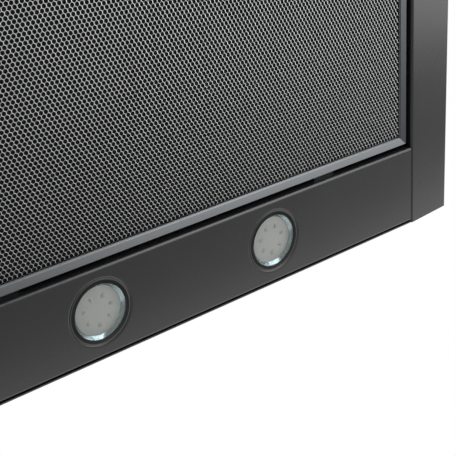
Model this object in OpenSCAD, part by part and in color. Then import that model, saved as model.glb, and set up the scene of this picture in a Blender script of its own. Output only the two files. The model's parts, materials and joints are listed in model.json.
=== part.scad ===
// Slim extractor hood for mounting under a cabinet or shelf.
// Frame: +X to the right seen from the front, +Y towards the wall, +Z up.
// Origin: centre of the underside. Millimetres.

/* [Case] */
// Overall width across the side panels
hood_w = 600; // [590:5:900]
// Overall depth, from the button faces to the back panel
hood_d = 500; // [480:5:620]
// Height of the case at the back
case_h = 130; // [126:1:180]
// Height of the front face
front_h = 48; // [42:1:70]
// Depth of the flat top
top_d = 310; // [290:5:380]
// Thickness of the sheet steel
sheet = 1.2; // [0.8:0.1:1.5]
// Middle radius of the folds in the sheet
fold_r = 1.8; // [1:0.1:3]
// Radius of the four cabinet screw holes
screw_hole_r = 2.75; // [2:0.25:4]
// Radius of the two wall screw holes
wall_hole_r = 3; // [2:0.25:4]

/* [Underside] */
// Width of each side strip
strip_w = 50; // [40:1:70]
// Rise of a side strip from its inner to its outer edge
strip_rise = 1.5; // [0:0.5:6]
// How far the outer corners of the side strips are cut back
strip_slant = 1.8; // [0:0.1:4]
// Gap between the outer corner of a side strip and the sheet above it
corner_gap = 1.2; // [0.3:0.1:2]
// Width of the lamp panel, with the rim behind it
lamp_panel_d = 73; // [70:1:90]
// Width of the front return
front_return_d = 58; // [50:1:80]
// Height of the lips round the filter opening
lip_h = 12; // [10:1:16]
// Height of the flange hidden behind the rim
flange_h = 14; // [10:1:16]
// Joint between a panel's end and a side strip
panel_gap = 0.6; // [0.3:0.1:1]
// Joint between a panel's outer edge and the rim
rim_gap = 1.3; // [0.8:0.1:2]
// Height of the rim's lower edge above the underside
rim_z = 1; // [0.5:0.1:2]

/* [Grease filter] */
// Gap all round the filter
filter_gap = 4; // [3:0.5:6]
// Depth of the filter's face above the underside
filter_recess = 3; // [2:0.5:5]
// Thickness of the filter
filter_t = 9; // [8:0.5:12]
// Width of a filter rail
rail_w = 7.2; // [6:0.1:12]
// Fall of the rail's face towards the mesh
rail_slope = 1.1; // [0:0.1:1.4]
// Thickness of the rail's aluminium
rail_sheet = 0.9; // [0.6:0.1:1.2]
// Width of each locating tab
tab_w = 22; // [14:1:40]
// Distance between the tabs' centres
tab_pitch = 300; // [200:10:400]
// Length of the latch housing
latch_w = 64; // [50:1:90]
// Travel of the latch
latch_travel = 6; // [4:0.5:7]

/* [Lamps] */
// Radius of the hole for each lamp
lamp_hole_r = 25.6; // [20:0.1:32]
// Width of the slope pressed round each hole
lamp_dish = 2.2; // [1:0.1:4]
// Radius of the light board
board_r = 19.5; // [15:0.5:24]
// Number of light chips on a board
chips = 7; // [5:1:9]
// Radius of the ring of chips
chip_ring_r = 11.5; // [9:0.5:13]

/* [Duct] */
// Outer radius of the duct collar
collar_r = 59.5; // [50:0.5:62]
// Height of the collar above the case
collar_h = 30; // [20:1:60]
// Distance from the back panel to the collar's axis
collar_back = 85; // [80:1:95]

/* [Blower] */
// Radius of the fan wheel
wheel_r = 75; // [65:1:78]
// Height of the fan wheel
wheel_h = 58; // [45:1:60]
// Number of blades
blades = 36; // [24:1:48]
// Wall of the blower's housing
housing_wall = 1.5; // [1:0.1:2.5]

/* [Controls] */
// Width of a button
button_w = 19; // [14:1:24]
// Height of a button
button_h = 14; // [10:1:18]
// Distance between the buttons' centres
button_pitch = 24; // [22:1:34]
// How far a button stands out of the front face
button_proud = 2; // [2:0.5:5]

/* [Hidden] */

$fn = 64;
fit = 0.1;           // clearance between pieces that are fixed together
fold_steps = 6;      // flats in each fold of the sheet

// Places of the case
side_x = hood_w / 2;                       // outer face of the right side panel
opening_x = side_x - strip_w;              // inner edge of the right side strip
rear_y = hood_d / 2;                       // outer face of the back panel
front_y = -hood_d / 2 + button_proud;      // outer face of the front
between_x = side_x - sheet - fit;          // half width of what fits between the sides
panel_x = opening_x - panel_gap;           // half width of the lamp panel
top_under = case_h - sheet;                // underneath of the top
screw_x = side_x - 30;                     // cabinet screw holes
screw_rear_y = rear_y - 25;
screw_pitch_y = 220;
wall_screw_x = side_x - 80;                // wall screw holes
wall_screw_z = 95;

// Places of the underside
lamp_front_y = rear_y - lamp_panel_d;      // lamp panel's edge at the filter
lamp_rear_y = rear_y - sheet - rim_gap;
return_front_y = front_y + sheet + rim_gap;
return_rear_y = front_y + front_return_d;
lamp_x = opening_x / 3;                    // the lamps stand at thirds of the opening
lamp_y = rear_y - 38.3;

// Places of the filter
filter_x = opening_x - filter_gap;
filter_front_y = return_rear_y + filter_gap;
filter_rear_y = lamp_front_y - filter_gap;
filter_mid_y = (filter_front_y + filter_rear_y) / 2;
filter_len_y = filter_rear_y - filter_front_y;
filter_top = filter_recess + filter_t;
rail_lip = 1.4;                            // height of the roll at a rail's inner edge
mesh_z = filter_recess + rail_slope + rail_lip;    // underneath of the outer mesh
mesh_t = 0.8;
core_z = mesh_z + mesh_t + fit;
mesh_inner_z = filter_top - rail_sheet - fit - 0.5;
core_t = mesh_inner_z - fit - core_z;
mesh_edge = rail_sheet + 0.3;              // from the filter's outline to the mesh's edge
tab_t = 1.5;
tab_z = filter_top - rail_sheet - tab_t - fit;     // underneath of the tabs
bead_r = sheet / 2 + 0.1;                  // the bead that the tabs turn on
bead_y = lamp_front_y + sheet / 2;
bead_z = tab_z - fit - bead_r;
tab_reach = 10;                            // from the filter's rear edge to the tab's end
core_sheets = 3;
core_sheet_t = 0.4;

// Places of the latch
latch_d = 27;
latch_front_y = filter_front_y + rail_w + fit;
latch_wall = 1.2;
latch_base_z = filter_recess + 0.2;
latch_top_z = filter_top - 1.6;
latch_mid_z = (latch_base_z + latch_top_z) / 2;
slider_w = 28;
slider_d = 12;
slider_y = latch_front_y + latch_wall + fit;
nose_w = 20;
nose_t = 2.4;
nose_y = return_rear_y - sheet - 1;        // the nose's tip, through the lip of the front return
grip_w = 22;
grip_d = 3;
grip_y = slider_y + slider_d - grip_d - 0.5;
grip_z = 1.2;
spring_y0 = slider_y + slider_d;
spring_y1 = latch_front_y + latch_d - latch_wall;
spring_r = 1.7;
wire_r = 0.3;
spring_turns = 6;

// Places of the lamps
holder_wall = 0.8;
holder_r = lamp_hole_r - 0.3;              // outer radius of the lamp holder
lens_r = holder_r - holder_wall - 0.3;
lens_z = 0.7;
lens_t = 1.6;
chip_r = 1.8;
board_z = lens_z + lens_t + 2.4;
board_t = 1.2;
lamp_back_h = 12;
holder_top = board_z + board_t + lamp_back_h + 1.5;
holder_flange = 4;

// Places of the blower
housing_z = 38;                            // underneath of the inlet plate
housing_top = case_h - 8;
housing_h = housing_top - housing_z;
scroll_gap = 7;                            // from the wheel to the cut-off
scroll_r = wheel_r + scroll_gap;           // radius of the scroll at the cut-off
scroll_grow = 50;                          // growth of the scroll over its whole turn
cutoff_angle = 65;
scroll_steps = 48;
box_half = collar_r + 6.5;                 // half width of the square outlet box
collar_y = rear_y - collar_back;
blower_x = -(box_half + 99);
blower_y = collar_y - 80;
duct_in_y = blower_y + scroll_r * sin(cutoff_angle);
duct_out_y = blower_y + scroll_r + scroll_grow;
wheel_z = housing_z + 12;
wheel_top = wheel_z + wheel_h;
inlet_r = wheel_r - 17;
blade_t = 1;
blade_depth = 14;
disc_t = 2;
rotor_r = wheel_r - 31;
rotor_wall = 3.5;
rotor_z = wheel_z + 14;
rotor_top = wheel_top + 2;
stator_r = rotor_r - rotor_wall - 1.5;
stator_z = rotor_z + rotor_wall + 2;
stator_flange_z = rotor_top + 2;
shaft_r = 4;
motor_screw_ring = stator_r + 4;
mount_ring = wheel_r - 9;

// Places of the carbon cartridge
carbon_r = 70;
carbon_z = filter_top + 4;
carbon_h = housing_z - 2 - carbon_z;
carbon_neck_r = inlet_r - housing_wall - 0.5;
carbon_slots = 24;
bayonet_turn = 25;                         // turn that frees the cartridge
inlet_ring_top = housing_z + 8;

// Places of the duct
collar_wall = 1.5;
collar_in_r = collar_r - collar_wall;
flap_t = 1.2;
flap_z = case_h + 2;                       // the flaps' pin
flap_r = collar_in_r - 0.7;
pin_r = 1.5;
knuckle_r = 3;
flap_root = knuckle_r + 0.4;
knuckle_pitch = (flap_r - 4.8) * 2 / 7;    // seven knuckles share the pin's length
knuckle_len = knuckle_pitch - 1;

// Places of the controls
button_z = 28;
button_names = ["light", "off", "low", "medium", "high"];
button_depth = 12;
button_gap = 0.4;
bezel_proud = 1;
bezel_x = 2 * button_pitch + button_w / 2 + 5;
bezel_half_z = button_h / 2 + 3;

// Places of the electrical parts
terminal_box_size = [80, 60, 30];
terminal_x = 170;
terminal_y = collar_y + 20;
driver_size = [110, 40, 22];
capacitor_r = 14;
capacitor_len = 55;
gland_r = 8;
gland_bore = 4;

/* Shapes that are used more than once */

// A profile in (x, z) drawn out along Y
module along_y(y0, y1) {
    translate([0, y1, 0]) rotate([90, 0, 0]) linear_extrude(y1 - y0) children();
}

// A profile in (y, z) drawn out along X
module along_x(x0, x1) {
    translate([x0, 0, 0]) rotate([90, 0, 90]) linear_extrude(x1 - x0) children();
}

// A box from its low corner to its high corner
module block(low, high) {
    translate(low) cube(high - low);
}

// A round tube that stands on z0
module tube(outer_r, inner_r, z0, z1) {
    difference() {
        translate([0, 0, z0]) cylinder(r = outer_r, h = z1 - z0);
        translate([0, 0, z0 - 1]) cylinder(r = inner_r, h = z1 - z0 + 2);
    }
}

// A round rod that lies along Y
module rod_y(r, y0, y1) {
    translate([0, y1, 0]) rotate([90, 0, 0]) cylinder(r = r, h = y1 - y0);
}

function unit(v) = v / norm(v);
function left_of(v) = [-v[1], v[0]];
function turned(v, a) = [v[0] * cos(a) - v[1] * sin(a), v[0] * sin(a) + v[1] * cos(a)];

// Points and normals along the middle of a folded sheet, with each corner of the path rounded
function fold_line(path, r) = [
    for (i = [0 : len(path) - 1])
        let (
            is_end = i == 0 || i == len(path) - 1,
            a = unit(path[max(i, 1)] - path[max(i, 1) - 1]),
            b = is_end ? a : unit(path[i + 1] - path[i]),
            angle = atan2(cross(a, b), a * b),
            side = sign(angle),
            centre = path[i] - a * r * tan(abs(angle) / 2) + left_of(a) * side * r
        )
        each is_end
            ? [[path[i], left_of(a)]]
            : [
                for (k = [0 : fold_steps])
                    let (n = turned(left_of(a), angle * k / fold_steps))
                    [centre - n * side * r, n]
            ]
];

// Outline of a folded sheet
module folded(path, r = fold_r, t = sheet) {
    line = fold_line(path, r);
    polygon(concat(
        [for (p = line) p[0] + p[1] * t / 2],
        [for (i = [len(line) - 1 : -1 : 0]) line[i][0] - line[i][1] * t / 2]
    ));
}

/* Case */

// Side view of the case in (y, z)
module case_outline() {
    polygon([
        [front_y, -1], [rear_y, -1], [rear_y, case_h],
        [rear_y - top_d, case_h], [front_y, front_h]
    ]);
}

// Room for the side strips under the front and the back panel
module strip_notches(y0, y1) {
    for (s = [-1, 1]) scale([s, 1, 1]) along_y(y0, y1) polygon([
        [panel_x, -1], [panel_x, sheet + fit], [opening_x, sheet + fit],
        [side_x, strip_rise + sheet + corner_gap], [side_x, -1]
    ]);
}

module canopy_shell() {
    color("#3f4042") difference() {
        along_x(-between_x, between_x) folded([
            [rear_y, case_h - sheet / 2],
            [rear_y - top_d, case_h - sheet / 2],
            [front_y + sheet / 2, front_h - sheet / 2],
            [front_y + sheet / 2, rim_z]
        ]);
        strip_notches(front_y - 1, front_y + sheet + 2);
        translate([0, collar_y, 0]) cylinder(r = collar_r + 1.5, h = case_h + 1);
        for (sx = [-1, 1], row = [0, 1])
            translate([sx * screw_x, screw_rear_y - row * screw_pitch_y, 0])
                cylinder(r = screw_hole_r, h = case_h + 1);
        translate([terminal_x, terminal_y, 0]) cylinder(r = gland_r + fit, h = case_h + 1);
        collar_screw_places() cylinder(r = 1.8, h = case_h + 5);
        block([-bezel_x + 2, front_y - 1, button_z - bezel_half_z + 1],
              [bezel_x - 2, front_y + sheet + 1, button_z + bezel_half_z - 1]);
    }
}

module side_panel() {
    difference() {
        intersection() {
            along_y(front_y, rear_y) folded([
                [opening_x + sheet / 2, lip_h],
                [opening_x + sheet / 2, sheet / 2],
                [side_x - sheet / 2, strip_rise + sheet / 2],
                [side_x - sheet / 2, case_h]
            ]);
            along_x(0, side_x) case_outline();
        }
        for (y = [front_y, rear_y - sheet - fit])
            block([opening_x - 1, y - 1, sheet + fit / 2],
                  [opening_x + sheet + 2 * fold_r, y + sheet + fit + 1, lip_h + 1]);
        translate([0, 0, -1]) linear_extrude(strip_rise + 5) {
            polygon([[opening_x, rear_y], [side_x + 1, rear_y - strip_slant],
                     [side_x + 1, rear_y + 1], [opening_x, rear_y + 1]]);
            polygon([[opening_x, front_y], [side_x + 1, front_y + strip_slant],
                     [side_x + 1, front_y - 1], [opening_x, front_y - 1]]);
        }
    }
}

module rivet_places() {
    for (x = [-3, -1, 1, 3]) translate([x * panel_x / 4, 0, flange_h - 4]) children();
}

module back_panel() {
    color("#3a3b3d") difference() {
        along_x(-between_x, between_x) folded([
            [rear_y - 15, top_under - fit - sheet / 2],
            [rear_y - sheet / 2, top_under - fit - sheet / 2],
            [rear_y - sheet / 2, rim_z]
        ]);
        strip_notches(rear_y - sheet - 2, rear_y + 1);
        for (sx = [-1, 1])
            translate([sx * wall_screw_x, 0, wall_screw_z])
                rod_y(wall_hole_r, rear_y - 5, rear_y + 1);
        rivet_places() rod_y(1.6 + fit / 2, rear_y - 5, rear_y + 1);
    }
}

module lamp_panel() {
    color("#3f4042") for (s = [-1, 1])
        along_x(s * tab_pitch / 2 - tab_w / 2 - 2.5, s * tab_pitch / 2 + tab_w / 2 + 2.5)
            translate([bead_y, bead_z]) circle(r = bead_r);
    color("#3f4042") difference() {
        along_x(-panel_x, panel_x) folded([
            [lamp_rear_y - sheet / 2, flange_h],
            [lamp_rear_y - sheet / 2, sheet / 2],
            [lamp_front_y + sheet / 2, sheet / 2],
            [lamp_front_y + sheet / 2, lip_h]
        ]);
        for (s = [-1, 1]) {
            translate([s * lamp_x, lamp_y, -1]) cylinder(r = lamp_hole_r, h = sheet + 2);
            translate([s * lamp_x, lamp_y, -fit])
                cylinder(r1 = lamp_hole_r + lamp_dish, r2 = lamp_hole_r, h = sheet);
            translate([s * tab_pitch / 2, 0, 0])
                block([-tab_w / 2 - 2, lamp_front_y - 1, bead_z],
                      [tab_w / 2 + 2, lamp_front_y + sheet + 1, lip_h + 1]);
        }
        rivet_places() rod_y(1.6 + fit / 2, lamp_rear_y - 4, lamp_rear_y + 1);
    }
}

module front_return() {
    color("#3f4042") difference() {
        along_x(-panel_x, panel_x) folded([
            [return_front_y + sheet / 2, flange_h],
            [return_front_y + sheet / 2, sheet / 2],
            [return_rear_y - sheet / 2, sheet / 2],
            [return_rear_y - sheet / 2, lip_h]
        ]);
        nose_slot(return_rear_y - 3);
    }
}

module panel_rivets() {
    color("silver") rivet_places() {
        rod_y(1.6, lamp_rear_y - sheet - fit, rear_y);
        rod_y(3, lamp_rear_y - sheet - fit - 1, lamp_rear_y - sheet - fit);
    }
}

/* Grease filter */

// One mitred rail: its outer edge lies on y = 0 and its inner edge on y = rail_w
module filter_rail(length) {
    z0 = filter_recess;
    face = rail_w - 1.2;       // where the face ends and the roll at the inner edge starts
    intersection() {
        along_x(-length / 2, length / 2) polygon([
            [0, z0], [face, z0 + rail_slope], [rail_w, mesh_z],
            [rail_w - rail_sheet, mesh_z], [face - rail_sheet / 2, z0 + rail_slope + rail_sheet],
            [rail_sheet, z0 + rail_sheet], [rail_sheet, filter_top - rail_sheet],
            [rail_w, filter_top - rail_sheet], [rail_w, filter_top], [0, filter_top]
        ]);
        linear_extrude(filter_top + 1) polygon([
            [-length / 2, 0], [length / 2, 0],
            [length / 2 - rail_w, rail_w], [-length / 2 + rail_w, rail_w]
        ]);
    }
}

module place_rail(side) {
    if (side == "front") translate([0, filter_front_y, 0]) children();
    if (side == "rear") translate([0, filter_rear_y, 0]) rotate([0, 0, 180]) children();
    if (side == "left") translate([-filter_x, filter_mid_y, 0]) rotate([0, 0, -90]) children();
    if (side == "right") translate([filter_x, filter_mid_y, 0]) rotate([0, 0, 90]) children();
}

module rail_on(side) {
    length = side == "front" || side == "rear" ? 2 * filter_x : filter_len_y;
    color("#8d8f90") difference() {
        place_rail(side) filter_rail(length);
        if (side == "front") nose_slot(filter_front_y - 1);
    }
}

// One layer of the filter, with room for the latch
module filter_layer(z0, z1) {
    difference() {
        block([-filter_x + mesh_edge, filter_front_y + mesh_edge, z0],
              [filter_x - mesh_edge, filter_rear_y - mesh_edge, z1]);
        block([-latch_w / 2 - fit, latch_front_y - fit, z0 - 1],
              [latch_w / 2 + fit, latch_front_y + latch_d + fit, z1 + 1]);
        block([-nose_w / 2 - 0.5, filter_front_y, z0 - 1],
              [nose_w / 2 + 0.5, latch_front_y + 1, z1 + 1]);
    }
}

module filter_tabs() {
    color("#8d8f90") for (s = [-1, 1])
        translate([s * tab_pitch / 2, 0, 0])
            block([-tab_w / 2, filter_rear_y, tab_z],
                  [tab_w / 2, filter_rear_y + tab_reach, tab_z + tab_t]);
}

// Room for the latch's nose in a sheet near y
module nose_slot(y) {
    block([-nose_w / 2 - 0.5, y, latch_mid_z - nose_t / 2 - 0.4],
          [nose_w / 2 + 0.5, y + 4, latch_mid_z + nose_t / 2 + 0.4]);
}

module latch_housing() {
    color("#2b2c2e") difference() {
        block([-latch_w / 2, latch_front_y, latch_base_z],
              [latch_w / 2, latch_front_y + latch_d, latch_top_z]);
        block([-slider_w / 2 - fit, latch_front_y + latch_wall, latch_base_z + latch_wall],
              [slider_w / 2 + fit, spring_y1, latch_top_z - latch_wall]);
        block([-grip_w / 2 - 0.5, grip_y - 0.5, latch_base_z - 1],
              [grip_w / 2 + 0.5, grip_y + grip_d + latch_travel + 0.5, latch_base_z + 2]);
        nose_slot(latch_front_y - 1);
    }
}

module latch_slider() {
    color("#707274") {
        block([-slider_w / 2, slider_y, latch_base_z + latch_wall + fit],
              [slider_w / 2, slider_y + slider_d, latch_top_z - latch_wall - fit]);
        block([-grip_w / 2, grip_y, grip_z], [grip_w / 2, grip_y + grip_d, latch_mid_z]);
        along_x(-nose_w / 2, nose_w / 2) polygon([
            [slider_y + 1, latch_mid_z - nose_t / 2], [nose_y + 2, latch_mid_z - nose_t / 2],
            [nose_y, latch_mid_z - 0.3], [nose_y, latch_mid_z + 0.3],
            [nose_y + 2, latch_mid_z + nose_t / 2], [slider_y + 1, latch_mid_z + nose_t / 2]
        ]);
    }
}

// A coil of wire between the slider and the housing
module latch_spring() {
    sides = 6;
    rings = spring_turns * 12;
    run = spring_y1 - spring_y0 - 2 * wire_r - 0.2;
    points = [
        for (i = [0 : rings], k = [0 : sides - 1])
            let (
                a = 360 * spring_turns * i / rings,
                b = 360 * k / sides,
                r = spring_r + wire_r * cos(b)
            )
            [r * cos(a), spring_y0 + 0.1 + wire_r + run * i / rings + wire_r * sin(b),
             latch_mid_z + r * sin(a)]
    ];
    faces = concat(
        [[for (k = [0 : sides - 1]) k]],
        [for (i = [0 : rings - 1], k = [0 : sides - 1])
            let (a = i * sides + k, b = i * sides + (k + 1) % sides)
            [a, a + sides, b + sides, b]],
        [[for (k = [sides - 1 : -1 : 0]) rings * sides + k]]
    );
    color("silver") polyhedron(points, faces);
}

/* Lamps */

module lamp_at(s) {
    translate([s * lamp_x, lamp_y, 0]) children();
}

module lamp_holder() {
    tube(holder_r, holder_r - holder_wall, lens_z - 0.2, holder_top);
    tube(lamp_hole_r + holder_flange, holder_r - holder_wall / 2, sheet + fit, sheet + 1.2);
}

module lamp_lens() {
    translate([0, 0, lens_z]) cylinder(r1 = lens_r - 0.6, r2 = lens_r, h = 0.6);
    translate([0, 0, lens_z + 0.6]) cylinder(r = lens_r, h = lens_t - 0.6);
}

// The bright cone between the lens and the board
module lamp_reflector() {
    z0 = lens_z + lens_t + fit;
    h = board_z + board_t - z0;
    difference() {
        translate([0, 0, z0]) cylinder(r = lens_r, h = h);
        translate([0, 0, z0 - fit])
            cylinder(r1 = lens_r - 0.6, r2 = board_r + 0.2, h = h - board_t + fit);
        translate([0, 0, z0 - 1]) cylinder(r = board_r + 0.1, h = h + 2);
    }
}

module lamp_board() {
    translate([0, 0, board_z]) cylinder(r = board_r, h = board_t);
    for (i = [0 : chips - 1]) rotate([0, 0, 90 + i * 360 / chips])
        translate([chip_ring_r, 0, board_z - 0.7]) cylinder(r = chip_r, h = 0.7 + board_t / 2);
}

module lamp_back() {
    z0 = board_z + board_t + fit;
    difference() {
        translate([0, 0, z0]) cylinder(r = lens_r, h = lamp_back_h);
        for (i = [0 : 11]) rotate([0, 0, i * 30])
            block([lens_r - 3, -1.5, z0 + 3], [lens_r + 1, 1.5, z0 + lamp_back_h + 1]);
    }
}

// A bent spring on each side of a lamp holder, pressing on the panel
module lamp_clips() {
    color("silver") for (s = [-1, 1], e = [-1, 1])
        lamp_at(s) scale([e, 1, 1]) along_y(-4, 4) folded([
            [holder_r + 0.4, holder_top - 1], [holder_r + 0.4 + 5, holder_top - 4],
            [holder_r + 0.4 + 9, sheet + 0.5]
        ], 1, 0.6);
}

/* Blower */

module at_blower() {
    translate([blower_x, blower_y, 0]) children();
}

// Scroll outline: a spiral from the cut-off, clockwise, and the duct to the outlet box
module scroll_shape(grow) {
    last = 360 - (90 - cutoff_angle);
    spiral = [
        for (i = [0 : scroll_steps])
            let (
                turn = last * i / scroll_steps,
                a = cutoff_angle - turn,
                r = scroll_r + scroll_grow * turn / last + grow
            )
            [r * cos(a), r * sin(a)]
    ];
    end_x = -box_half - blower_x;
    polygon(concat(spiral, [
        [end_x, scroll_r + scroll_grow + grow],
        [end_x, scroll_r * sin(cutoff_angle) - grow]
    ]));
}

module blower_housing() {
    color("#c9cac8") at_blower() {
        difference() {
            translate([0, 0, housing_z + housing_wall])
                linear_extrude(housing_h - housing_wall) scroll_shape(housing_wall);
            translate([0, 0, housing_z])
                linear_extrude(housing_h - housing_wall) scroll_shape(0);
            block([-box_half - blower_x - 1, duct_in_y - blower_y, housing_z - 1],
                  [-box_half - blower_x + 5, duct_out_y - blower_y,
                   housing_top - housing_wall]);
            motor_screw_places() cylinder(r = 2 + fit / 2, h = case_h);
        }
    }
}

module blower_inlet_plate() {
    color("#c9cac8") at_blower() {
        difference() {
            translate([0, 0, housing_z]) linear_extrude(housing_wall - fit)
                scroll_shape(housing_wall);
            translate([0, 0, housing_z - 1]) cylinder(r = inlet_r - 1, h = 10);
            bayonet_places(bayonet_turn) block([0, -7, housing_z - 1], [inlet_r + 1, 7, case_h]);
        }
        difference() {
            tube(inlet_r, inlet_r - housing_wall, housing_z, inlet_ring_top);
            bayonet_places(bayonet_turn) block([0, -7, housing_z - 1], [inlet_r + 1, 7, case_h]);
        }
    }
}

module bayonet_places(turn) {
    for (i = [0 : 2]) rotate([0, 0, turn + i * 120]) children();
}

module fan_wheel() {
    color("#2b2c2e") at_blower() {
        tube(wheel_r, wheel_r - blade_depth, wheel_z, wheel_z + disc_t);
        tube(wheel_r, rotor_r + fit / 2, wheel_top - disc_t, wheel_top);
        for (i = [0 : blades - 1]) rotate([0, 0, i * 360 / blades])
            translate([0, 0, wheel_z + disc_t / 2]) linear_extrude(wheel_h - disc_t)
                polygon(blade_outline);
    }
}

// A forward-curved blade, as an arc of constant thickness
blade_arc_r = blade_depth * 0.8;
blade_mid = wheel_r - blade_depth / 2 - 0.4;
blade_outline = concat(
    [for (a = [-50 : 20 : 50])
        [blade_mid + (blade_arc_r + blade_t / 2) * sin(a) * 0.78,
         (blade_arc_r + blade_t / 2) * cos(a) - blade_arc_r]],
    [for (a = [50 : -20 : -50])
        [blade_mid + (blade_arc_r - blade_t / 2) * sin(a) * 0.78,
         (blade_arc_r - blade_t / 2) * cos(a) - blade_arc_r]]
);

module motor_rotor() {
    color("#6f7173") at_blower() {
        tube(rotor_r, rotor_r - rotor_wall, rotor_z, rotor_top);
        tube(rotor_r, shaft_r + 0.02, rotor_z, rotor_z + rotor_wall);
    }
}

module motor_shaft() {
    color("silver") at_blower() translate([0, 0, rotor_z - 4])
        cylinder(r = shaft_r, h = stator_flange_z - rotor_z + 4);
}

module motor_screw_places() {
    for (i = [0 : 3]) rotate([0, 0, i * 90]) translate([motor_screw_ring, 0, 0]) children();
}

module motor_stator() {
    color("#9a9c9e") at_blower() difference() {
        union() {
            translate([0, 0, stator_z]) cylinder(r = stator_r, h = stator_flange_z - stator_z + 1);
            translate([0, 0, stator_flange_z])
                cylinder(r = stator_r + 8, h = housing_top - housing_wall - fit - stator_flange_z);
        }
        translate([0, 0, stator_z - 1])
            cylinder(r = shaft_r + 0.06, h = stator_flange_z - stator_z + 2);
        motor_screw_places() translate([0, 0, stator_flange_z - 1])
            cylinder(r = 2 + fit / 2, h = case_h);
    }
}

module motor_screws() {
    color("silver") at_blower() motor_screw_places() {
        translate([0, 0, stator_flange_z + 1])
            cylinder(r = 2, h = housing_top - stator_flange_z - 1 + fit);
        translate([0, 0, housing_top + fit]) cylinder(r = 4, h = 2);
    }
}

module blower_mounts() {
    color("#222222") at_blower() for (i = [0 : 3]) rotate([0, 0, 45 + i * 90])
        translate([mount_ring, 0, 0]) tube(7, 2, housing_top, top_under);
}

/* Carbon cartridge */

module carbon_case() {
    color("#2b2c2e") at_blower() {
        difference() {
            translate([0, 0, carbon_z]) cylinder(r = carbon_r, h = carbon_h);
            translate([0, 0, carbon_z + 2]) cylinder(r = carbon_r - 2, h = carbon_h - 4);
            translate([0, 0, carbon_z - 1]) cylinder(r = carbon_r - 34, h = 5);
            translate([0, 0, carbon_z + carbon_h - 3]) cylinder(r = carbon_neck_r - 2, h = 5);
            for (i = [0 : carbon_slots - 1]) rotate([0, 0, i * 360 / carbon_slots])
                block([carbon_r - 30, -2, carbon_z - 1], [carbon_r - 6, 2, carbon_z + 3]);
        }
        tube(carbon_neck_r, carbon_neck_r - 2, carbon_z + carbon_h - 1, inlet_ring_top + 2);
        bayonet_places(0) intersection() {
            tube(inlet_r - 0.3, carbon_neck_r - 1, inlet_ring_top + 0.3, inlet_ring_top + 2);
            block([0, -6, 0], [inlet_r, 6, case_h]);
        }
        for (a = [0, 90]) rotate([0, 0, a])
            block([-carbon_r + 30, -2.5, carbon_z], [carbon_r - 30, 2.5, carbon_z + 2]);
    }
}

module carbon_bed() {
    color("#151515") at_blower() translate([0, 0, carbon_z + 2 + fit])
        cylinder(r = carbon_r - 2 - fit, h = carbon_h - 4 - 2 * fit);
}

/* Outlet */

module outlet_box() {
    color("#c9cac8") translate([0, collar_y, 0]) difference() {
        block([-box_half, -box_half, housing_z], [box_half, box_half, housing_top]);
        block([-box_half + housing_wall, -box_half + housing_wall, housing_z + housing_wall],
              [box_half - housing_wall, box_half - housing_wall, housing_top - housing_wall]);
        block([-box_half - 1, duct_in_y - collar_y, housing_z + housing_wall],
              [-box_half + housing_wall + 1, duct_out_y - collar_y,
               housing_top - housing_wall]);
        translate([0, 0, housing_top - 5]) cylinder(r = collar_in_r, h = 10);
    }
}

module collar_screw_places() {
    for (a = [45 : 90 : 315]) translate([0, collar_y, 0]) rotate([0, 0, a])
        translate([collar_r + 6, 0, 0]) children();
}

module duct_collar() {
    color("#2b2c2e") difference() {
        translate([0, collar_y, 0]) {
            tube(collar_r, collar_in_r, case_h, case_h + collar_h);
            tube(collar_r + 10, collar_in_r, case_h, case_h + 2);
            tube(collar_r + 1, collar_in_r, housing_top, case_h + 1);
            tube(collar_in_r + fit, collar_in_r - 2, flap_z - flap_t / 2 - 2.3,
                 flap_z - flap_t / 2 - 0.3);
        }
        translate([0, collar_y, flap_z])
            rod_y(pin_r + 0.05, -collar_r + 0.2, collar_r - 0.2);
        collar_screw_places() cylinder(r = 1.8, h = case_h + 5);
    }
}

module collar_screws() {
    color("silver") collar_screw_places() {
        translate([0, 0, case_h - 5]) cylinder(r = 1.6, h = 7 + 2 * fit);
        translate([0, 0, case_h + 2 + fit]) cylinder(r = 3, h = 1.8);
    }
}

// One half of the back-draught damper. The left flap's knuckles leave room for the right's.
module flap(s) {
    translate([0, collar_y, flap_z]) {
        difference() {
            translate([0, 0, -flap_t / 2]) cylinder(r = flap_r, h = flap_t);
            block([s > 0 ? -flap_r - 1 : -flap_root, -flap_r - 1, -flap_t],
                  [s > 0 ? flap_root : flap_r + 1, flap_r + 1, flap_t]);
        }
        for (i = [-3 : 3]) if ((i + 4) % 2 == (s > 0 ? 0 : 1)) difference() {
            union() {
                rod_y(knuckle_r, i * knuckle_pitch - knuckle_len / 2,
                      i * knuckle_pitch + knuckle_len / 2);
                translate([s > 0 ? 0 : -flap_root - 1, i * knuckle_pitch - knuckle_len / 2,
                           -flap_t / 2]) cube([flap_root + 1, knuckle_len, flap_t]);
            }
            rod_y(pin_r + 0.05, -collar_r, collar_r);
        }
    }
}

module flap_pin() {
    color("silver") translate([0, collar_y, flap_z]) rod_y(pin_r, -collar_r + 0.4, collar_r - 0.4);
}

/* Controls */

module button_place(i) {
    translate([(i - 2) * button_pitch, 0, button_z]) children();
}

module switch_bezel() {
    color("#222325") difference() {
        union() {
            block([-bezel_x, front_y - bezel_proud, button_z - bezel_half_z],
                  [bezel_x, front_y, button_z + bezel_half_z]);
            block([-bezel_x + 2 + fit, front_y, button_z - bezel_half_z + 1 + fit],
                  [bezel_x - 2 - fit, front_y + 5, button_z + bezel_half_z - 1 - fit]);
        }
        for (i = [0 : 4]) button_place(i)
            block([-button_w / 2 - button_gap, front_y - 5, -button_h / 2 - button_gap],
                  [button_w / 2 + button_gap, front_y + 10, button_h / 2 + button_gap]);
    }
}

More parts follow.
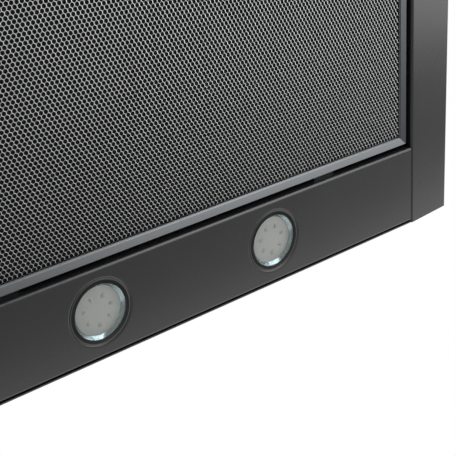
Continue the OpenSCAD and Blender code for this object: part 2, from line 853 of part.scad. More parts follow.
module button(i) {
    color("#55585a") button_place(i) {
        block([-button_w / 2, front_y - button_proud, -button_h / 2],
              [button_w / 2, front_y - button_proud + button_depth, button_h / 2]);
        block([-2, front_y - button_proud + button_depth - 1, -2],
              [2, front_y - button_proud + button_depth + 2, 2]);
    }
}

module switch_block() {
    y0 = front_y - button_proud + button_depth + 4;
    color("#d8d8d4") difference() {
        block([-bezel_x, y0, button_z - 9], [bezel_x, y0 + 22, button_z + 9]);
        for (i = [0 : 4]) button_place(i) block([-3, y0 - 1, -3], [3, y0 + 6, 3]);
    }
}

/* Electrical parts */

module terminal_box() {
    half = terminal_box_size / 2;
    color("#d8d8d4") translate([terminal_x, terminal_y, top_under - half[2]]) difference() {
        block(-half, half);
        block([-half[0] + 2, -half[1] + 2, -half[2] + 2], [half[0] - 2, half[1] - 2, half[2] - 2]);
        translate([0, 0, 0]) cylinder(r = gland_r, h = half[2] + 1);
    }
}

module lamp_driver() {
    color("#e6e6e2") translate([terminal_x, terminal_y - 80, top_under - driver_size[2] / 2])
        block(-driver_size / 2, driver_size / 2);
}

module capacitor() {
    color("#e6e6e2") translate([terminal_x, terminal_y - 125, top_under - capacitor_r])
        rotate([0, 90, 0]) cylinder(r = capacitor_r, h = capacitor_len, center = true);
}

module cable_gland() {
    color("#222325") translate([terminal_x, terminal_y, 0]) difference() {
        union() {
            translate([0, 0, top_under - 4]) cylinder(r = gland_r - fit, h = 8);
            translate([0, 0, case_h]) cylinder(r = gland_r + 4, h = 4);
            translate([0, 0, case_h + 3]) cylinder(r = gland_r - 1, h = 9);
        }
        translate([0, 0, top_under - 5]) cylinder(r = gland_bore, h = 24);
    }
}

/* What is drawn */

canopy_shell();
color("#4a4b4d") side_panel();  // side_panel_right
color("#4a4b4d") mirror([1, 0, 0]) side_panel();  // side_panel_left
back_panel();
lamp_panel();
front_return();
panel_rivets();
for (side = ["front", "rear", "left", "right"])
    rail_on(side);
color("#8d8f90") filter_layer(mesh_z, mesh_z + mesh_t);  // filter_mesh_outer
color("#6a6c6d") for (i = [0 : core_sheets - 1]) {  // filter_mesh_core
        z = core_z + i * (core_t - core_sheet_t) / (core_sheets - 1);
        filter_layer(z, z + core_sheet_t);
    }
color("#8d8f90") filter_layer(mesh_inner_z, mesh_inner_z + 0.5);  // filter_mesh_inner
filter_tabs();
latch_housing();
latch_slider();
latch_spring();
for (s = [-1, 1]) {
    side = s < 0 ? "left" : "right";
    color("#222325") lamp_at(s) lamp_holder();
    color("#cfd6d6") lamp_at(s) lamp_lens();
    color("#bfc1c2") lamp_at(s) lamp_reflector();
    color("#e4e4df") lamp_at(s) lamp_board();
    color("#9a9c9e") lamp_at(s) lamp_back();
}
lamp_clips();
blower_housing();
blower_inlet_plate();
fan_wheel();
motor_rotor();
motor_shaft();
motor_stator();
motor_screws();
blower_mounts();
carbon_case();
carbon_bed();
outlet_box();
duct_collar();
collar_screws();
color("#55585a") flap(1);  // flap_right
color("#55585a") flap(-1);  // flap_left
flap_pin();
switch_bezel();
switch_block();
for (i = [0 : 4])
    button(i);
terminal_box();
capacitor();
lamp_driver();
cable_gland();
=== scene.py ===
"""Slim extractor hood: the looks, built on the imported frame. Metres, in the frame's own axes."""
import json
import math
import bmesh
import bpy
from mathutils import Matrix, Vector


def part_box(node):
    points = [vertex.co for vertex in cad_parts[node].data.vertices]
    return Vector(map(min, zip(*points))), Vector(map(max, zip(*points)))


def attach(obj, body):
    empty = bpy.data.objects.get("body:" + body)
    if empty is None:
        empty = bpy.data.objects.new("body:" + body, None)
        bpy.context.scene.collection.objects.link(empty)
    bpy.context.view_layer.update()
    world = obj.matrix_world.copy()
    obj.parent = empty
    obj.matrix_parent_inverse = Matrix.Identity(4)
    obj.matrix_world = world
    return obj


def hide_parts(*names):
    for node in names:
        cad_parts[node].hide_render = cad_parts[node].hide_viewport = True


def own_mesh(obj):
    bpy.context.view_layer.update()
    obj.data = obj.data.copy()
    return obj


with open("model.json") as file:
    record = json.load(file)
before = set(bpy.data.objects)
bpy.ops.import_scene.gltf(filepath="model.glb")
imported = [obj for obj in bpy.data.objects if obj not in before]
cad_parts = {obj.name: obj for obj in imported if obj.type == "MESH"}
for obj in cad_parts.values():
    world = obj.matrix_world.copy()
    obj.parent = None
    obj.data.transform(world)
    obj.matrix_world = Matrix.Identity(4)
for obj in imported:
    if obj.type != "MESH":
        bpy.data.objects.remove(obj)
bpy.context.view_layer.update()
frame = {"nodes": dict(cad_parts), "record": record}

scene = bpy.context.scene
MM = 0.001

# ---------------------------------------------------------------- camera

cam_data = bpy.data.cameras.new("camera")
cam_data.lens = 79.35
cam_data.sensor_width = 36.0
cam_data.clip_start = 0.01
camera = bpy.data.objects.new("camera", cam_data)
scene.collection.objects.link(camera)
cam_right = Vector((0.7682, 0.0665, -0.6367))
cam_up = Vector((0.3004, -0.9157, 0.2668))
cam_back = Vector((-0.5653, -0.3962, -0.7235))
place = Matrix((cam_right, cam_up, cam_back)).transposed().to_4x4()
place.translation = Vector((-0.4018, -0.1222, -0.5614))
camera.matrix_world = place
scene.camera = camera

# ---------------------------------------------------------------- helpers

BODY_OF = {n: b for b, nodes in frame["record"]["behaviour"]["bodies"].items() for n in nodes}


def linear(hex_code):
    """An sRGB hex value as linear red, green, blue and a full alpha."""
    values = [int(hex_code[i:i + 2], 16) / 255 for i in (1, 3, 5)]
    return tuple(v / 12.92 if v <= 0.04045 else ((v + 0.055) / 1.055) ** 2.4 for v in values) + (1.0,)


def add(tree, kind, settings=None, **links):
    """A node with its settings and input values; a link is given as (node, output name)."""
    made = tree.nodes.new(kind)
    for key, value in (settings or {}).items():
        if hasattr(made, key):
            setattr(made, key, value)
        else:
            made.inputs[key].default_value = value
    for key, (source, output) in links.items():
        target = int(key[1:]) if key[0] == "i" and key[1:].isdigit() else key.replace("_", " ")
        tree.links.new(source.outputs[output], made.inputs[target])
    return made


def material(name):
    """A new material, its node tree, its surface shader and Object coordinates."""
    made = bpy.data.materials.new(name)
    made.use_nodes = True
    tree = made.node_tree
    shader = tree.nodes["Principled BSDF"]
    return made, tree, shader, add(tree, "ShaderNodeTexCoord")


def finish_piece(bm, name, body, finish, replaced=(), crease=35):
    """Turns a bmesh into a named object that rides on a body."""
    for face in bm.faces:
        face.smooth = True
    for edge in bm.edges:
        if len(edge.link_faces) == 2:
            edge.smooth = edge.calc_face_angle(0) < math.radians(crease)
    mesh = bpy.data.meshes.new(name)
    bm.to_mesh(mesh)
    bm.free()
    mesh.materials.append(finish)
    made = bpy.data.objects.new(name, mesh)
    scene.collection.objects.link(made)
    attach(made, body)
    if replaced:
        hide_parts(*replaced)
    return made


def softened(node, finish, radius_mm, segments=2, sharp=30, crease=35):
    """A CAD piece with its loose triangles joined and its sharp edges rounded."""
    bm = bmesh.new()
    bm.from_mesh(frame["nodes"][node].data)
    bmesh.ops.remove_doubles(bm, verts=bm.verts, dist=2e-6)
    bmesh.ops.dissolve_limit(bm, angle_limit=math.radians(0.4), verts=bm.verts, edges=bm.edges)
    edges = [e for e in bm.edges if e.is_manifold and abs(e.calc_face_angle_signed(0)) > math.radians(sharp)]
    bmesh.ops.bevel(bm, geom=edges, offset=radius_mm * MM, offset_type="OFFSET", segments=segments,
                    profile=0.5, affect="EDGES", clamp_overlap=True, material=-1, loop_slide=True)
    bmesh.ops.recalc_face_normals(bm, faces=bm.faces)
    made = finish_piece(bm, node + "_finished", BODY_OF[node], finish, (node,), crease)
    flats = made.modifiers.new("flats", "WEIGHTED_NORMAL")
    flats.keep_sharp = True
    flats.weight = 100
    return made

# ---------------------------------------------------------------- finishes


def powder_coat():
    """Textured polyester powder coat on steel: fine orange-peel grain and a satin face."""
    made, tree, shader, place = material("graphite_powder_coat")
    grit = add(tree, "ShaderNodeTexNoise", {"Scale": 1 / (0.9 * MM), "Detail": 3.0, "Roughness": 0.6},
               Vector=(place, "Object"))
    cloud = add(tree, "ShaderNodeTexNoise", {"Scale": 1 / (45 * MM), "Detail": 2.0}, Vector=(place, "Object"))
    tint = add(tree, "ShaderNodeMix", {"data_type": "RGBA"})
    tint.inputs[6].default_value = linear("#101012")
    tint.inputs[7].default_value = linear("#1f2022")
    tree.links.new(grit.outputs["Fac"], tint.inputs[0])
    tree.links.new(tint.outputs[2], shader.inputs["Base Color"])
    gloss = add(tree, "ShaderNodeMapRange", {"To Min": 0.24, "To Max": 0.3}, Value=(cloud, "Fac"))
    tree.links.new(gloss.outputs[0], shader.inputs["Roughness"])
    bump = add(tree, "ShaderNodeBump", {"Strength": 0.12, "Distance": 0.05 * MM}, Height=(grit, "Fac"))
    tree.links.new(bump.outputs[0], shader.inputs["Normal"])
    shader.inputs["Specular IOR Level"].default_value = 0.5
    return made


def anodised(name, along, low, high):
    """Satin anodised aluminium, brushed along the rail before it was dyed: fine lines that run its length. A
    copy given a darker low and high carries painted shade.
    """
    made, tree, shader, place = material(name)
    stretch = [1 / (0.35 * MM)] * 3
    stretch["XY".index(along)] = 1 / (40 * MM)
    lie = add(tree, "ShaderNodeMapping", {"Scale": stretch}, Vector=(place, "Object"))
    lines = add(tree, "ShaderNodeTexNoise", {"Scale": 1.0, "Detail": 4.0}, Vector=(lie, "Vector"))
    tint = add(tree, "ShaderNodeMix", {"data_type": "RGBA"})
    tint.inputs[6].default_value = linear(low)
    tint.inputs[7].default_value = linear(high)
    tree.links.new(lines.outputs["Fac"], tint.inputs[0])
    tree.links.new(tint.outputs[2], shader.inputs["Base Color"])
    gloss = add(tree, "ShaderNodeMapRange", {"To Min": 0.28, "To Max": 0.42}, Value=(lines, "Fac"))
    tree.links.new(gloss.outputs[0], shader.inputs["Roughness"])
    bump = add(tree, "ShaderNodeBump", {"Strength": 0.06, "Distance": 0.02 * MM}, Height=(lines, "Fac"))
    tree.links.new(bump.outputs[0], shader.inputs["Normal"])
    shader.inputs["Metallic"].default_value = 1.0
    return made


def expanded_aluminium(name, low, high):
    """Mill-finish aluminium, slit and stretched: bright cut edges and duller rolled faces."""
    made, tree, shader, place = material(name)
    streak = add(tree, "ShaderNodeTexNoise", {"Scale": 1 / (2.5 * MM), "Detail": 3.0},
                 Vector=(place, "Object"))
    tint = add(tree, "ShaderNodeMix", {"data_type": "RGBA"})
    tint.inputs[6].default_value = linear(low)
    tint.inputs[7].default_value = linear(high)
    tree.links.new(streak.outputs["Fac"], tint.inputs[0])
    tree.links.new(tint.outputs[2], shader.inputs["Base Color"])
    gloss = add(tree, "ShaderNodeMapRange", {"To Min": 0.3, "To Max": 0.38}, Value=(streak, "Fac"))
    tree.links.new(gloss.outputs[0], shader.inputs["Roughness"])
    shader.inputs["Metallic"].default_value = 1.0
    return made


def filter_foil(name, shade_between_strands, strand, shine):
    """Layers of fine expanded foil inside the filter: a crumpled net; the colour between its strands is
    painted shade, for the dark seen through the net.
    """
    made, tree, shader, place = material(name)
    cells = add(tree, "ShaderNodeTexVoronoi", {"feature": "DISTANCE_TO_EDGE", "Scale": 1 / (3.4 * MM)},
                Vector=(place, "Object"))
    strands = add(tree, "ShaderNodeMapRange",
                  {"From Min": 0.02, "From Max": 0.16, "To Min": 1.0, "To Max": 0.0},
                  Value=(cells, "Distance"))
    tint = add(tree, "ShaderNodeMix", {"data_type": "RGBA"})
    tint.inputs[6].default_value = linear(shade_between_strands)
    tint.inputs[7].default_value = linear(strand)
    tree.links.new(strands.outputs[0], tint.inputs[0])
    tree.links.new(tint.outputs[2], shader.inputs["Base Color"])
    bump = add(tree, "ShaderNodeBump", {"Strength": 0.8, "Distance": 0.4 * MM}, Height=(strands, 0))
    tree.links.new(bump.outputs[0], shader.inputs["Normal"])
    shader.inputs["Specular IOR Level"].default_value = shine
    shader.inputs["Roughness"].default_value = 0.6
    return made


def moulded(name, low, high, rough=0.45, grain_mm=0.5, strength=0.15, clear=0.0):
    """Injection-moulded plastic: spark-eroded grain, a little uneven in gloss."""
    made, tree, shader, place = material(name)
    grain = add(tree, "ShaderNodeTexNoise", {"Scale": 1 / (grain_mm * MM), "Detail": 3.0},
                Vector=(place, "Object"))
    flow = add(tree, "ShaderNodeTexNoise", {"Scale": 1 / (18 * MM), "Detail": 2.0}, Vector=(place, "Object"))
    tint = add(tree, "ShaderNodeMix", {"data_type": "RGBA"})
    tint.inputs[6].default_value = linear(low)
    tint.inputs[7].default_value = linear(high)
    tree.links.new(flow.outputs["Fac"], tint.inputs[0])
    tree.links.new(tint.outputs[2], shader.inputs["Base Color"])
    gloss = add(tree, "ShaderNodeMapRange", {"To Min": rough - 0.06, "To Max": rough + 0.06},
                Value=(grain, "Fac"))
    tree.links.new(gloss.outputs[0], shader.inputs["Roughness"])
    bump = add(tree, "ShaderNodeBump", {"Strength": strength, "Distance": 0.04 * MM}, Height=(grain, "Fac"))
    tree.links.new(bump.outputs[0], shader.inputs["Normal"])
    shader.inputs["Coat Weight"].default_value = clear
    return made


def galvanised():
    """Hot-dip galvanised sheet: zinc crystals a few millimetres across, each with its own sheen."""
    made, tree, shader, place = material("galvanised_sheet")
    spangle = add(tree, "ShaderNodeTexVoronoi", {"Scale": 1 / (7 * MM)}, Vector=(place, "Object"))
    shade = add(tree, "ShaderNodeSeparateColor", Color=(spangle, "Color"))
    tint = add(tree, "ShaderNodeMix", {"data_type": "RGBA"})
    tint.inputs[6].default_value = linear("#8e9496")
    tint.inputs[7].default_value = linear("#c2c7c8")
    tree.links.new(shade.outputs[0], tint.inputs[0])
    tree.links.new(tint.outputs[2], shader.inputs["Base Color"])
    gloss = add(tree, "ShaderNodeMapRange", {"To Min": 0.3, "To Max": 0.5}, Value=(shade, 1))
    tree.links.new(gloss.outputs[0], shader.inputs["Roughness"])
    shader.inputs["Metallic"].default_value = 0.9
    return made


def plated(name, low, high, rough):
    """Zinc-plated or drawn steel: even, with faint draw lines and handling haze."""
    made, tree, shader, place = material(name)
    haze = add(tree, "ShaderNodeTexNoise", {"Scale": 1 / (1.2 * MM), "Detail": 4.0}, Vector=(place, "Object"))
    tint = add(tree, "ShaderNodeMix", {"data_type": "RGBA"})
    tint.inputs[6].default_value = linear(low)
    tint.inputs[7].default_value = linear(high)
    tree.links.new(haze.outputs["Fac"], tint.inputs[0])
    tree.links.new(tint.outputs[2], shader.inputs["Base Color"])
    gloss = add(tree, "ShaderNodeMapRange", {"To Min": rough - 0.08, "To Max": rough + 0.08},
                Value=(haze, "Fac"))
    tree.links.new(gloss.outputs[0], shader.inputs["Roughness"])
    shader.inputs["Metallic"].default_value = 1.0
    return made


def clear_polycarbonate():
    """Moulded polycarbonate lens: clear, with the faintest ripple."""
    made, tree, shader, place = material("clear_polycarbonate")
    ripple = add(tree, "ShaderNodeTexNoise", {"Scale": 1 / (6 * MM)}, Vector=(place, "Object"))
    bump = add(tree, "ShaderNodeBump", {"Strength": 0.05, "Distance": 0.05 * MM}, Height=(ripple, "Fac"))
    tree.links.new(bump.outputs[0], shader.inputs["Normal"])
    shader.inputs["Base Color"].default_value = linear("#f1f5f4")
    shader.inputs["Transmission Weight"].default_value = 1.0
    shader.inputs["IOR"].default_value = 1.586
    shader.inputs["Roughness"].default_value = 0.03
    return made


def activated_carbon():
    """Crushed charcoal: dull black grains about three millimetres across."""
    made, tree, shader, place = material("activated_carbon")
    grains = add(tree, "ShaderNodeTexVoronoi", {"Scale": 1 / (3 * MM)}, Vector=(place, "Object"))
    # The grain colour runs from dark grey at each grain's middle to near black at its edge: painted shade in
    # the crevices between grains.
    tint = add(tree, "ShaderNodeMix", {"data_type": "RGBA"})
    tint.inputs[6].default_value = linear("#26262a")
    tint.inputs[7].default_value = linear("#060607")
    tree.links.new(grains.outputs["Distance"], tint.inputs[0])
    tree.links.new(tint.outputs[2], shader.inputs["Base Color"])
    bump = add(tree, "ShaderNodeBump", {"Strength": 1.0, "Distance": 1.5 * MM, "invert": True},
               Height=(grains, "Distance"))
    tree.links.new(bump.outputs[0], shader.inputs["Normal"])
    shader.inputs["Roughness"].default_value = 0.75
    return made


def marked_button(name, centre, dots):
    """Satin ABS button with a pad-printed mark of pale dots. centre and dots are (x, z) in millimetres."""
    made = moulded(name, "#3c3e40", "#444648", 0.38, 0.4, 0.1)
    tree = made.node_tree
    shader = tree.nodes["Principled BSDF"]
    place = tree.nodes["Texture Coordinate"]
    split = add(tree, "ShaderNodeSeparateXYZ", Vector=(place, "Object"))
    flat = add(tree, "ShaderNodeCombineXYZ", X=(split, "X"), Z=(split, "Z"))
    mask = None
    for x, z, radius, hollow in dots:
        reach = add(tree, "ShaderNodeVectorMath", {"operation": "DISTANCE"}, i0=(flat, 0))
        reach.inputs[1].default_value = ((centre[0] + x) * MM, 0, (centre[1] + z) * MM)
        inside = add(tree, "ShaderNodeMath", {"operation": "COMPARE"}, i0=(reach, "Value"))
        inside.inputs[1].default_value = (radius - 0.25) * MM if hollow else 0.0
        inside.inputs[2].default_value = 0.25 * MM if hollow else radius * MM
        if mask:
            inside = add(tree, "ShaderNodeMath", {"operation": "MAXIMUM"}, i0=(mask, 0), i1=(inside, 0))
        mask = inside
    tint = add(tree, "ShaderNodeMix", {"data_type": "RGBA"}, i0=(mask, 0))
    old = shader.inputs["Base Color"].links[0].from_socket
    tree.links.new(old, tint.inputs[6])
    tint.inputs[7].default_value = linear("#d9dadb")
    tree.links.new(tint.outputs[2], shader.inputs["Base Color"])
    return made


paint = powder_coat()
rail_x = anodised("satin_anodised_aluminium_x", "X", "#56585a", "#686a6c")
# The left and right rails take a darker copy of the same anodised aluminium: painted shade, standing in for
# the side rails lying away from the light.
rail_y_painted_shade = anodised("satin_anodised_aluminium_y_painted_shade", "Y", "#46484a", "#56585a")
mesh_metal = expanded_aluminium("expanded_aluminium", "#9b9c9d", "#c7c8c9")
# The inner foil layers get near-black strands as well as near-black gaps, and little shine: painted shade for
# the dark inside the filter. The top layer below is the lit copy of the same foil, with bright strands and
# painted shade between them.
painted_shade_foil = filter_foil("foil_layers_painted_dark_as_shade", "#020202", "#0e0f10", 0.1)
open_foil = filter_foil("foil_top_layer", "#1b1c1d", "#8a8d90", 0.5)
black_plastic = moulded("black_abs", "#0d0d0e", "#151516", 0.4)
gloss_black = moulded("glossy_black_pbt", "#060606", "#0a0a0a", 0.16, 0.8, 0.03)
grey_plastic = moulded("grey_abs", "#38393b", "#414244", 0.42)
pale_plastic = moulded("pale_abs", "#c3c3bc", "#d0d0ca", 0.5)
solder_resist = moulded("white_solder_resist", "#cbc8c6", "#d5d2d0", 0.3, 1.2, 0.05)
led_package = moulded("silicone_led_dome", "#bab8b2", "#c5c2bc", 0.12, 0.8, 0.02)
nylon = moulded("glass_filled_nylon", "#17181a", "#232427", 0.55, 0.7, 0.25)
rubber = moulded("moulded_rubber", "#0e0e0e", "#161616", 0.7, 0.6, 0.2)
zinc_sheet = galvanised()
zinc_plate = plated("zinc_plated_steel", "#9a9c9c", "#b8babb", 0.3)
drawn_steel = plated("drawn_steel", "#5e6062", "#737577", 0.38)
cast_metal = plated("cast_aluminium", "#7f8183", "#999b9d", 0.48)
metallised = plated("metallised_reflector", "#788489", "#98a5aa", 0.18)
clear = clear_polycarbonate()
charcoal = activated_carbon()

# ---------------------------------------------------------------- pieces that keep the CAD's shape

for node in ("canopy_shell", "side_panel_left", "side_panel_right", "back_panel", "lamp_panel",
             "front_return"):
    softened(node, paint, 0.25, 2, 35)
for node in ("filter_rail_front", "filter_rail_rear", "filter_tabs"):
    softened(node, rail_x, 0.35, 3, 12, 50)
for node in ("filter_rail_left", "filter_rail_right"):
    softened(node, rail_y_painted_shade, 0.35, 3, 12, 50)
softened("filter_mesh_core", painted_shade_foil, 0.05)
softened("filter_mesh_inner", open_foil, 0.1)
for node in ("blower_housing", "blower_inlet_plate", "outlet_box"):
    softened(node, zinc_sheet, 0.3, 2, 40)
for node in ("panel_rivets", "lamp_clips", "motor_screws", "flap_pin"):
    softened(node, zinc_plate, 0.12, 2, 40)
spring = softened("latch_spring", zinc_plate, 0.05, 2, 40)
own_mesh(spring)
for node in ("motor_rotor", "motor_shaft", "motor_stator"):
    softened(node, drawn_steel, 0.4)
for node in ("lamp_back_left", "lamp_back_right"):
    softened(node, cast_metal, 0.3)
for node in ("latch_housing", "switch_bezel", "duct_collar", "cable_gland", "carbon_case"):
    softened(node, black_plastic, 0.4, 3)
for node in ("latch_slider", "flap_left", "flap_right"):
    softened(node, grey_plastic, 0.3, 3)
for node in ("switch_block", "terminal_box", "lamp_driver"):
    softened(node, pale_plastic, 0.8, 3)
softened("capacitor", cast_metal, 1.2, 3)
softened("fan_wheel", nylon, 0.2)
softened("blower_mounts", rubber, 0.8, 3)
softened("carbon_bed", charcoal, 1.0)
softened("collar_screws", zinc_plate, 0.3, 3)

button_dots = {
    "light": ((0, 0, 1.6, False), (0, 0, 3.0, True)),
    "off": ((0, 0, 2.4, True),),
    "low": ((0, 0, 1.0, False),),
    "medium": ((-1.8, 0, 1.0, False), (1.8, 0, 1.0, False)),
    "high": ((-3.4, 0, 1.0, False), (0, 0, 1.0, False), (3.4, 0, 1.0, False)),
}
for name, dots in button_dots.items():
    node = "button_" + name
    low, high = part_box(node)
    centre = ((low[0] + high[0]) / 2 / MM, (low[2] + high[2]) / 2 / MM)
    softened(node, marked_button("printed_abs_" + name, centre, dots), 0.8, 4)

# ---------------------------------------------------------------- expanded mesh

PITCH_X = 3.68 * MM         # between openings in a row
PITCH_Y = 5.81 * MM         # between every second row; the rows are staggered
SIDE_Y = (PITCH_Y ** 2 - PITCH_X ** 2) / (4 * PITCH_Y)
TIP_Y = (PITCH_Y ** 2 + PITCH_X ** 2) / (4 * PITCH_Y)
OPENING = 0.875             # opening over cell
STRAND = 0.24 * MM          # thickness of the strands
TWIST = 0.18 * MM           # how far the stretching turned the strands out of the sheet
STRIPS = 4                  # the mesh is made as this many pieces, side by side
NOSE_HALF = 10.5 * MM       # half width of the way left for the latch's nose

CELL = ((PITCH_X / 2, SIDE_Y), (0, TIP_Y), (-PITCH_X / 2, SIDE_Y),
        (-PITCH_X / 2, -SIDE_Y), (0, -TIP_Y), (PITCH_X / 2, -SIDE_Y))


def half_strands(bm, x, y, z):
    """The halves of the strands all round one opening, with the opening's rim turned out of the sheet."""
    face = bm.faces.new([bm.verts.new((x + cx, y + cy, z)) for cx, cy in CELL])
    bmesh.ops.inset_region(bm, faces=[face], thickness=0.1 * MM, use_boundary=True)
    for vert, (cx, cy) in zip(face.verts, CELL):
        vert.co = (x + cx * OPENING, y + cy * OPENING, z - TWIST * cy / TIP_Y)
    bm.faces.remove(face)


def tiled(bm, *rows):
    """The same shape again and again: each row is a count and a step."""
    mesh = bpy.data.meshes.new("tile")
    bm.to_mesh(mesh)
    tile = bpy.data.objects.new("tile", mesh)
    scene.collection.objects.link(tile)
    for count, step in rows:
        array = tile.modifiers.new("row", "ARRAY")
        array.count = count
        array.use_relative_offset = False
        array.use_constant_offset = True
        array.constant_offset_displace = step
    whole = tile.evaluated_get(bpy.context.evaluated_depsgraph_get()).to_mesh()
    bm.clear()
    bm.from_mesh(whole)
    bpy.data.objects.remove(tile)
    bmesh.ops.remove_doubles(bm, verts=bm.verts, dist=0.01 * MM)


def cut(bm, axis, place, side=0):
    """Cuts everything across one axis, and takes away what is beyond the cut where a side is given."""
    normal = Vector((0, 0, 0))
    normal[axis] = side or 1
    bmesh.ops.bisect_plane(bm, geom=bm.verts[:] + bm.edges[:] + bm.faces[:], dist=1e-7,
                           plane_co=abs(normal[axis]) * Vector((place, place, place)), plane_no=normal,
                           clear_outer=bool(side))


def take_out(bm, low, high):
    """Cuts along the sides of a box and takes out what is inside it."""
    for axis in (0, 1):
        cut(bm, axis, low[axis])
        cut(bm, axis, high[axis])
    centres = [(f, f.calc_center_median()) for f in bm.faces]
    inside = [f for f, c in centres if low[0] < c.x < high[0] and low[1] < c.y < high[1]]
    bmesh.ops.delete(bm, geom=inside, context="FACES")


low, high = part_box("filter_mesh_outer")
latch_low, latch_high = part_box("latch_housing")
sheet = bmesh.new()
sheet_z = (low[2] + high[2]) / 2
half_strands(sheet, low[0], low[1], sheet_z)
half_strands(sheet, low[0] + PITCH_X / 2, low[1] + PITCH_Y / 2, sheet_z)
tiled(sheet, (math.ceil((high[0] - low[0]) / PITCH_X) + 1, (PITCH_X, 0, 0)),
      (math.ceil((high[1] - low[1]) / PITCH_Y) + 1, (0, PITCH_Y, 0)))
for axis in (0, 1):
    cut(sheet, axis, low[axis], -1)
    cut(sheet, axis, high[axis], 1)
take_out(sheet, latch_low, latch_high)
take_out(sheet, (-NOSE_HALF, low[1] - MM), (NOSE_HALF, latch_low[1] + MM))
strip = (high[0] - low[0]) / STRIPS
for i in range(STRIPS):
    part = sheet.copy()
    start = low[0] + i * strip
    beyond = [f for f in part.faces if not start <= f.calc_center_median().x < start + strip]
    bmesh.ops.delete(part, geom=beyond, context="FACES")
    bmesh.ops.solidify(part, geom=part.faces[:], thickness=STRAND)
    bmesh.ops.recalc_face_normals(part, faces=part.faces)
    finish_piece(part, "filter_mesh_outer_" + "abcd"[i], "filter", mesh_metal, ("filter_mesh_outer",),
                 25)
sheet.free()

# ---------------------------------------------------------------- lamps

FLUTES = 60                 # flutes round a reflector
FLUTE_DEPTH = 0.22 * MM
CHIPS = 7                   # light chips on a board
CHIP_RING_R = 11.5 * MM     # middle of a chip to the middle of its board
CHIP_H = 0.7 * MM           # how far a chip stands off its board
CHIP_BASE = (3.8 * MM, 3.0 * MM, 0.5 * MM, 1)
CHIP_DOME = (1.8 * MM, 1.5 * MM, 0.5 * MM, 1)
LIP_W = 2.6 * MM            # how far the lip covers the lens
LIP_T = 0.35 * MM


def ring_of(bm, profile, steps):
    """A closed profile of (radius, height) points spun once round Z."""
    points = [bm.verts.new((r, 0, z)) for r, z in profile]
    edges = [bm.edges.new((a, b)) for a, b in zip(points, points[1:] + points[:1])]
    bmesh.ops.spin(bm, geom=points + edges, cent=(0, 0, 0), axis=(0, 0, 1), angle=math.tau, steps=steps,
                   use_merge=True)
    bmesh.ops.remove_doubles(bm, verts=bm.verts, dist=0.001 * MM)


def lamp(side):
    """Board with its light chips, fluted reflector, grooved lip, lens and holder of one lamp."""
    low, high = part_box("lamp_board_" + side)
    r = (high[0] - low[0]) / 2
    x, y = (low[0] + high[0]) / 2, (low[1] + high[1]) / 2
    board = bmesh.new()
    bmesh.ops.create_cone(board, cap_ends=True, segments=96, radius1=r, radius2=r,
                          depth=high[2] - low[2] - CHIP_H)
    bmesh.ops.translate(board, verts=board.verts, vec=(0, 0, (high[2] + low[2] + CHIP_H) / 2))
    rims = [e for e in board.edges if e.calc_face_angle(0) > 1]
    bmesh.ops.bevel(board, geom=rims, offset=0.2 * MM, segments=2, profile=0.5, affect="EDGES", material=-1)
    domes = bmesh.new()
    for i in range(CHIPS):
        turn = Matrix.Rotation(math.radians(90) + i * math.tau / CHIPS, 4, "Z")
        at = turn @ Matrix.Translation((CHIP_RING_R, 0, low[2] + CHIP_H))
        made = bmesh.ops.create_cube(domes, size=1, matrix=at @ Matrix.Diagonal(CHIP_BASE))
        edges = list({e: None for v in made["verts"] for e in v.link_edges})
        bmesh.ops.bevel(domes, geom=edges, offset=0.12 * MM, segments=2, profile=0.5, affect="EDGES",
                        material=-1)
        at = turn @ Matrix.Translation((CHIP_RING_R, 0, low[2] + CHIP_H - 0.2 * MM))
        bmesh.ops.create_uvsphere(domes, u_segments=20, v_segments=12, radius=1,
                                  matrix=at @ Matrix.Diagonal(CHIP_DOME))
    for bm, name, finish in ((board, "lamp_board_", solder_resist), (domes, "lamp_chip_domes_", led_package)):
        bmesh.ops.translate(bm, verts=bm.verts, vec=(x, y, 0))
        bmesh.ops.recalc_face_normals(bm, faces=bm.faces)
        finish_piece(bm, name + side + "_finished", "case", finish, ("lamp_board_" + side,))

    low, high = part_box("lamp_reflector_" + side)
    outer = (high[0] - low[0]) / 2
    inner = r - 0.3 * MM
    wide = r + 2.4 * MM
    z0, z2 = low[2], high[2]
    z1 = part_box("lamp_board_" + side)[0][2] + CHIP_H - 0.1 * MM
    reflector = bmesh.new()
    ring_of(reflector, [(outer, z0), (wide, z0 + 0.1 * MM), ((wide + inner) / 2, (z0 + z1) / 2),
                        (inner, z1 - 0.1 * MM), (inner, z1),
                        (r + 0.15 * MM, z1), (r + 0.15 * MM, z2), (outer, z2)], FLUTES * 2)
    for vert in reflector.verts:
        column = round(math.atan2(vert.co.y, vert.co.x) / math.tau * FLUTES * 2)
        if column % 2 and z0 + 0.2 * MM < vert.co.z < z1 - 0.2 * MM:
            vert.co.z -= FLUTE_DEPTH
    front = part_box("lamp_lens_" + side)[0][2] - 0.05 * MM
    lip_out, lip_in = outer + 0.25 * MM, outer - LIP_W
    lip = bmesh.new()
    profile = [(lip_out, front), (lip_out, front - LIP_T)]
    for step in (0.6, 1.3, 2.0):
        groove = lip_out - step * MM
        profile += [(groove, front - LIP_T), (groove - 0.15 * MM, front - 0.12 * MM),
                    (groove - 0.3 * MM, front - LIP_T)]
    profile += [(lip_in + 0.1 * MM, front - LIP_T), (lip_in, front - 0.2 * MM), (lip_in, front)]
    ring_of(lip, profile, 96)
    for bm, name, node, finish in ((reflector, "lamp_reflector_", "lamp_reflector_", metallised),
                                   (lip, "lamp_lip_", "lamp_holder_", gloss_black)):
        bmesh.ops.translate(bm, verts=bm.verts, vec=(x, y, 0))
        bmesh.ops.recalc_face_normals(bm, faces=bm.faces)
        finish_piece(bm, name + side + "_finished", "case", finish, (node + side,), 15)
    softened("lamp_lens_" + side, clear, 0.15, 3)
    softened("lamp_holder_" + side, grey_plastic, 0.25, 3)


lamp("left")
lamp("right")

# ---------------------------------------------------------------- studio


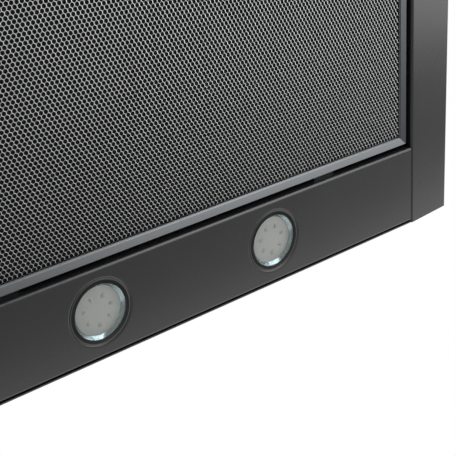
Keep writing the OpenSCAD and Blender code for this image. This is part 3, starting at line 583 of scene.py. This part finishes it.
def studio_light(name, place, target, width, height, watts):
    """A soft box that faces a point near the hood, with its width square to Y."""
    data = bpy.data.lights.new(name, "AREA")
    data.shape = "RECTANGLE"
    data.size = width
    data.size_y = height
    data.energy = watts
    made = bpy.data.objects.new(name, data)
    back = (Vector(place) - Vector(target)).normalized()
    right = Vector((0, 1, 0)).cross(back).normalized()
    made.matrix_world = Matrix((right, back.cross(right), back)).transposed().to_4x4()
    made.matrix_world.translation = place
    made.visible_camera = False
    scene.collection.objects.link(made)


studio_light("softbox_low", (0.95, 0.05, -0.95), (0.0, 0.15, 0.0), 1.2, 0.6, 6)
studio_light("softbox_front", (0.85, -0.75, -0.8), (0.0, 0.15, 0.0), 1.0, 0.9, 13)
studio_light("softbox_rear", (0.5, 0.85, -0.3), (0.5, 0.85, 0.0), 2.0, 0.84, 6)
studio_light("softbox_high", (-1.2, -1.6, 2.2), (0.0, 0.0, 0.0), 1.6, 1.6, 30)

floor_bm = bmesh.new()
bmesh.ops.create_grid(floor_bm, x_segments=1, y_segments=1, size=6.0)
bmesh.ops.translate(floor_bm, verts=floor_bm.verts, vec=(0, 0, -1.6))
floor_mesh = bpy.data.meshes.new("floor")
floor_bm.to_mesh(floor_mesh)
floor_bm.free()
floor_paint, floor_tree, floor_shader, floor_place = material("pale_grey_floor")
haze = add(floor_tree, "ShaderNodeTexNoise", {"Scale": 1 / (400 * MM), "Detail": 3.0},
           Vector=(floor_place, "Object"))
floor_tint = add(floor_tree, "ShaderNodeMix", {"data_type": "RGBA"})
floor_tint.inputs[6].default_value = linear("#b0b0ae")
floor_tint.inputs[7].default_value = linear("#b8b8b6")
floor_tree.links.new(haze.outputs["Fac"], floor_tint.inputs[0])
floor_tree.links.new(floor_tint.outputs[2], floor_shader.inputs["Base Color"])
floor_shader.inputs["Roughness"].default_value = 0.8
floor_mesh.materials.append(floor_paint)
floor = bpy.data.objects.new("floor", floor_mesh)
scene.collection.objects.link(floor)

world = bpy.data.worlds.new("studio")
world.use_nodes = True
world.node_tree.nodes["Background"].inputs["Color"].default_value = (1, 1, 1, 1)
world.node_tree.nodes["Background"].inputs["Strength"].default_value = 1.0
scene.world = world
scene.view_settings.view_transform = "Standard"
